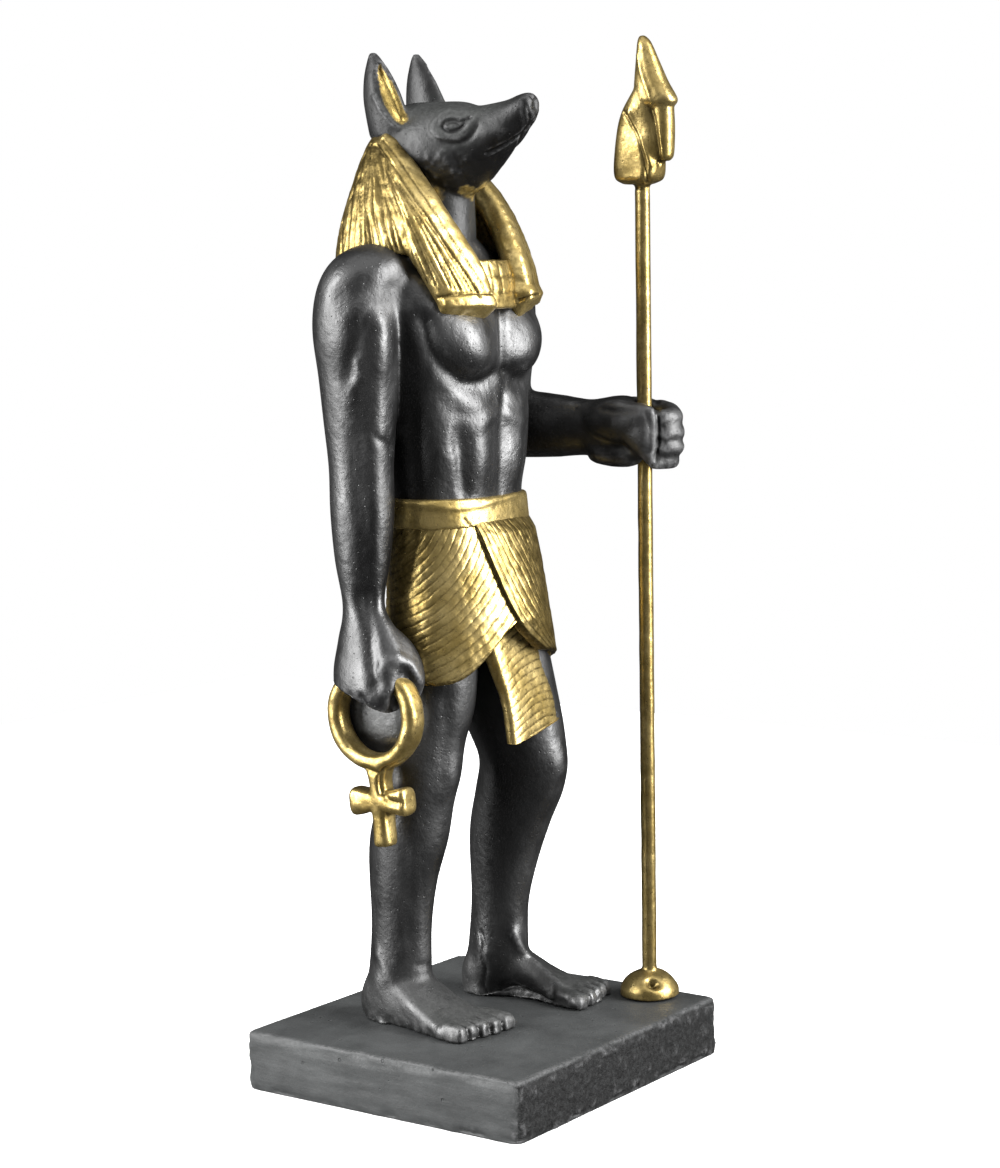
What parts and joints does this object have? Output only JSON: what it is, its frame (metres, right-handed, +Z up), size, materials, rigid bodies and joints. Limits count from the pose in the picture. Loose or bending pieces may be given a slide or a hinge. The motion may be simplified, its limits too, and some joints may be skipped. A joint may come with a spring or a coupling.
{
  "type": "jackal-headed aquarium ornament",
  "caption": "Jackal-headed standing figure in cast resin on a block plinth, with an upright sceptre and a looped cross, stood on the bed of a fish tank as an ornament",
  "frame": {"origin": "the middle of the plinth's underside, which is the face that rests on the bed of the tank", "axes": "+Z is up and along the sceptre; the figure faces -Y, with its right side and the looped cross towards -X and the sceptre towards +X"},
  "size_m": [0.092, 0.0844, 0.2634],
  "materials": {
    "plinth_resin": "dark grey cast resin, stone-like, rough, with casting lines, pits and worn edges",
    "black_resin": "painted cast resin, charcoal black with a soft sheen; headdress, belt, kilt and inner ears are gilded",
    "gold_leaf": "gilded resin, warm and mottled, dark where the leaf has worn"
  },
  "bodies": {
    "root": {"plinth": "plinth_resin", "figure": "black_resin", "ankh": "gold_leaf", "sceptre": "gold_leaf"}
  },
  "joints": []
}
